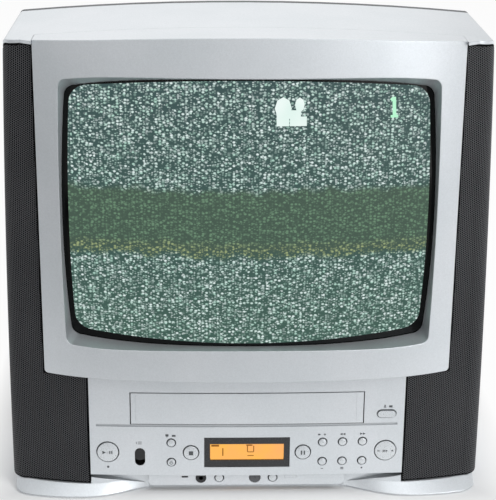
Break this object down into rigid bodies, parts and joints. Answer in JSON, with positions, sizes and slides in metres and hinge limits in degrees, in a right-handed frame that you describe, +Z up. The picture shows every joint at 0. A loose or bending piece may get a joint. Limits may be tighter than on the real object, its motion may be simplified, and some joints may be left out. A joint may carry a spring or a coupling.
{
  "type": "television with video cassette recorder",
  "caption": "Table-top tube television with a cassette recorder under the screen: crowned silver case, curved side speaker grilles, flap door, buttons and a lit display.",
  "frame": {"origin": "on the floor, under the middle of the object's bounding box", "axes": "+Z up, +X to the right of a viewer in front of the screen, +Y from the screen to the back"},
  "size_m": [0.393, 0.37, 0.39],
  "materials": {
    "silver_shell": "silver paint, satin",
    "silver_key": "silver paint, semi-gloss",
    "grille_metal": "perforated, dark grey satin",
    "grey_cover": "fine texture",
    "dark_plastic": "smooth",
    "dark_gloss": "glossy",
    "rubber": "matt",
    "screw_steel": "bright",
    "spring_steel": "bright wire",
    "sheet_steel": "galvanised sheet",
    "tube_glass": "dark polished screen glass",
    "yoke_plastic": "moulded former with copper windings",
    "coil_tape": "taped coil",
    "board_resin": "brown laminate",
    "aluminium": "bare extrusion",
    "drum_aluminium": "polished",
    "can_sleeve": "shrink sleeve",
    "display_window": "amber backlit panel",
    "cone_paper": "black pulp"
  },
  "bodies": {
    "cabinet": {"anode_cap": "rubber", "base_plinth": "silver_shell", "capacitors": "can_sleeve", "case_screws": "screw_steel", "control_board": "board_resin", "control_fascia": "silver_shell", "cord_gland": "dark_plastic", "deck_chassis": "sheet_steel", "deflection_yoke": "yoke_plastic", "degauss_coil": "coil_tape", "display_frame": "dark_gloss", "display_panel": "display_window", "door_spring": "spring_steel", "drum_base": "drum_aluminium", "flyback_transformer": "dark_plastic", "front_cabinet": "silver_shell", "headphone_jack": "dark_plastic", "heat_sink": "aluminium", "jack_strip": "silver_shell", "left_speaker": "sheet_steel", "left_speaker_grille": "grille_metal", "main_board": "board_resin", "neck_board": "board_resin", "picture_tube": "tube_glass", "rear_cover": "grey_cover", "rear_sockets": "dark_plastic", "remote_sensor": "dark_gloss", "right_speaker": "sheet_steel", "right_speaker_grille": "grille_metal", "rim_band": "sheet_steel", "rubber_feet": "rubber", "screen_bezel": "silver_shell", "speaker_cones": "cone_paper", "terminal_panel": "dark_plastic", "tube_screws": "screw_steel", "tuner_box": "sheet_steel"},
    "capstan_rotor": {"capstan": "screw_steel"},
    "door": {"cassette_door": "silver_shell"},
    "holder": {"cassette_holder": "sheet_steel"},
    "eject_button_body": {"eject_button": "silver_key"},
    "forward_button_body": {"forward_button": "silver_key"},
    "drum": {"head_drum": "drum_aluminium"},
    "carriage": {"loading_carriage": "sheet_steel"},
    "memory_button_body": {"memory_button": "silver_key"},
    "menu_button_body": {"menu_button": "silver_key"},
    "pause_button_body": {"pause_button": "silver_key"},
    "pinch": {"pinch_arm": "dark_plastic"},
    "play_button_body": {"play_button": "silver_key"},
    "power_button_body": {"power_button": "silver_key"},
    "rewind_button_body": {"rewind_button": "silver_key"},
    "rocker": {"rocker_disc": "silver_key"},
    "slide_knob": {"slide_switch": "dark_plastic"},
    "source_button_body": {"source_button": "silver_key"},
    "stop_button_body": {"stop_button": "silver_key"},
    "supply": {"supply_reel": "dark_plastic"},
    "takeup": {"takeup_reel": "dark_plastic"},
    "timer_button_body": {"timer_button": "silver_key"},
    "tracking_button_body": {"tracking_button": "silver_key"},
    "volume_down_button_body": {"volume_down_button": "silver_key"},
    "volume_up_button_body": {"volume_up_button": "silver_key"}
  },
  "joints": [
    {"name": "play_press", "type": "slide", "parent": "cabinet", "child": "play_button_body", "axis": [0, 1, 0], "range_m": [0, 0.0012], "stiffness_N_per_m": 120, "springref_m": -0.0012},
    {"name": "stop_press", "type": "slide", "parent": "cabinet", "child": "stop_button_body", "axis": [0, 1, 0], "range_m": [0, 0.0012], "stiffness_N_per_m": 120, "springref_m": -0.0012},
    {"name": "pause_press", "type": "slide", "parent": "cabinet", "child": "pause_button_body", "axis": [0, 1, 0], "range_m": [0, 0.0012], "stiffness_N_per_m": 120, "springref_m": -0.0012},
    {"name": "source_press", "type": "slide", "parent": "cabinet", "child": "source_button_body", "axis": [0, 1, 0], "range_m": [0, 0.0012], "stiffness_N_per_m": 120, "springref_m": -0.0012},
    {"name": "power_press", "type": "slide", "parent": "cabinet", "child": "power_button_body", "axis": [0, 1, 0], "range_m": [0, 0.0012], "stiffness_N_per_m": 120, "springref_m": -0.0012},
    {"name": "volume_up_press", "type": "slide", "parent": "cabinet", "child": "volume_up_button_body", "axis": [0, 1, 0], "range_m": [0, 0.0012], "stiffness_N_per_m": 120, "springref_m": -0.0012},
    {"name": "rewind_press", "type": "slide", "parent": "cabinet", "child": "rewind_button_body", "axis": [0, 1, 0], "range_m": [0, 0.0012], "stiffness_N_per_m": 120, "springref_m": -0.0012},
    {"name": "forward_press", "type": "slide", "parent": "cabinet", "child": "forward_button_body", "axis": [0, 1, 0], "range_m": [0, 0.0012], "stiffness_N_per_m": 120, "springref_m": -0.0012},
    {"name": "volume_down_press", "type": "slide", "parent": "cabinet", "child": "volume_down_button_body", "axis": [0, 1, 0], "range_m": [0, 0.0012], "stiffness_N_per_m": 120, "springref_m": -0.0012},
    {"name": "menu_press", "type": "slide", "parent": "cabinet", "child": "menu_button_body", "axis": [0, 1, 0], "range_m": [0, 0.0012], "stiffness_N_per_m": 120, "springref_m": -0.0012},
    {"name": "memory_press", "type": "slide", "parent": "cabinet", "child": "memory_button_body", "axis": [0, 1, 0], "range_m": [0, 0.0012], "stiffness_N_per_m": 120, "springref_m": -0.0012},
    {"name": "eject_press", "type": "slide", "parent": "cabinet", "child": "eject_button_body", "axis": [0, 1, 0], "range_m": [0, 0.0012], "stiffness_N_per_m": 120, "springref_m": -0.0012},
    {"name": "tracking_press", "type": "slide", "parent": "cabinet", "child": "tracking_button_body", "axis": [0, 1, 0], "range_m": [0, 0.0012], "stiffness_N_per_m": 120, "springref_m": -0.0012},
    {"name": "timer_press", "type": "slide", "parent": "cabinet", "child": "timer_button_body", "axis": [0, 1, 0], "range_m": [0, 0.0012], "stiffness_N_per_m": 120, "springref_m": -0.0012},
    {"name": "rocker_tilt", "type": "hinge", "parent": "cabinet", "child": "rocker", "pos_m": [0.1153, -0.161, 0.0403], "axis": [0, 0, 1], "range_deg": [-3.5, 3.5], "stiffness_Nm_per_rad": 0.05},
    {"name": "mode_slide", "type": "slide", "parent": "cabinet", "child": "slide_knob", "axis": [0, 0, 1], "range_m": [-0.005, 0]},
    {"name": "door_hinge", "type": "hinge", "parent": "cabinet", "child": "door", "pos_m": [0, -0.1639, 0.1], "axis": [1, 0, 0], "range_deg": [0, 88], "stiffness_Nm_per_rad": 0.004, "springref_deg": -22.92},
    {"name": "carriage_slide", "type": "slide", "parent": "cabinet", "child": "carriage", "axis": [0, 1, 0], "range_m": [0, 0.045]},
    {"name": "holder_drop", "type": "slide", "parent": "carriage", "child": "holder", "axis": [0, 0, 1], "range_m": [-0.02, 0]},
    {"name": "drum_spin", "type": "hinge", "parent": "cabinet", "child": "drum", "pos_m": [0, 0.016, 0.06], "axis": [0, 0, 1], "continuous": true},
    {"name": "capstan_spin", "type": "hinge", "parent": "cabinet", "child": "capstan_rotor", "pos_m": [0.062, -0.022, 0.03], "axis": [0, 0, 1], "continuous": true},
    {"name": "pinch_swing", "type": "hinge", "parent": "cabinet", "child": "pinch", "pos_m": [0.084, -0.012, 0.036], "axis": [0, 0, 1], "range_deg": [0, 12], "stiffness_Nm_per_rad": 0.01, "springref_deg": -11.46},
    {"name": "supply_spin", "type": "hinge", "parent": "cabinet", "child": "supply", "pos_m": [-0.046, -0.072, 0.036], "axis": [0, 0, 1], "continuous": true},
    {"name": "takeup_spin", "type": "hinge", "parent": "cabinet", "child": "takeup", "pos_m": [0.046, -0.072, 0.036], "axis": [0, 0, 1], "continuous": true}
  ]
}
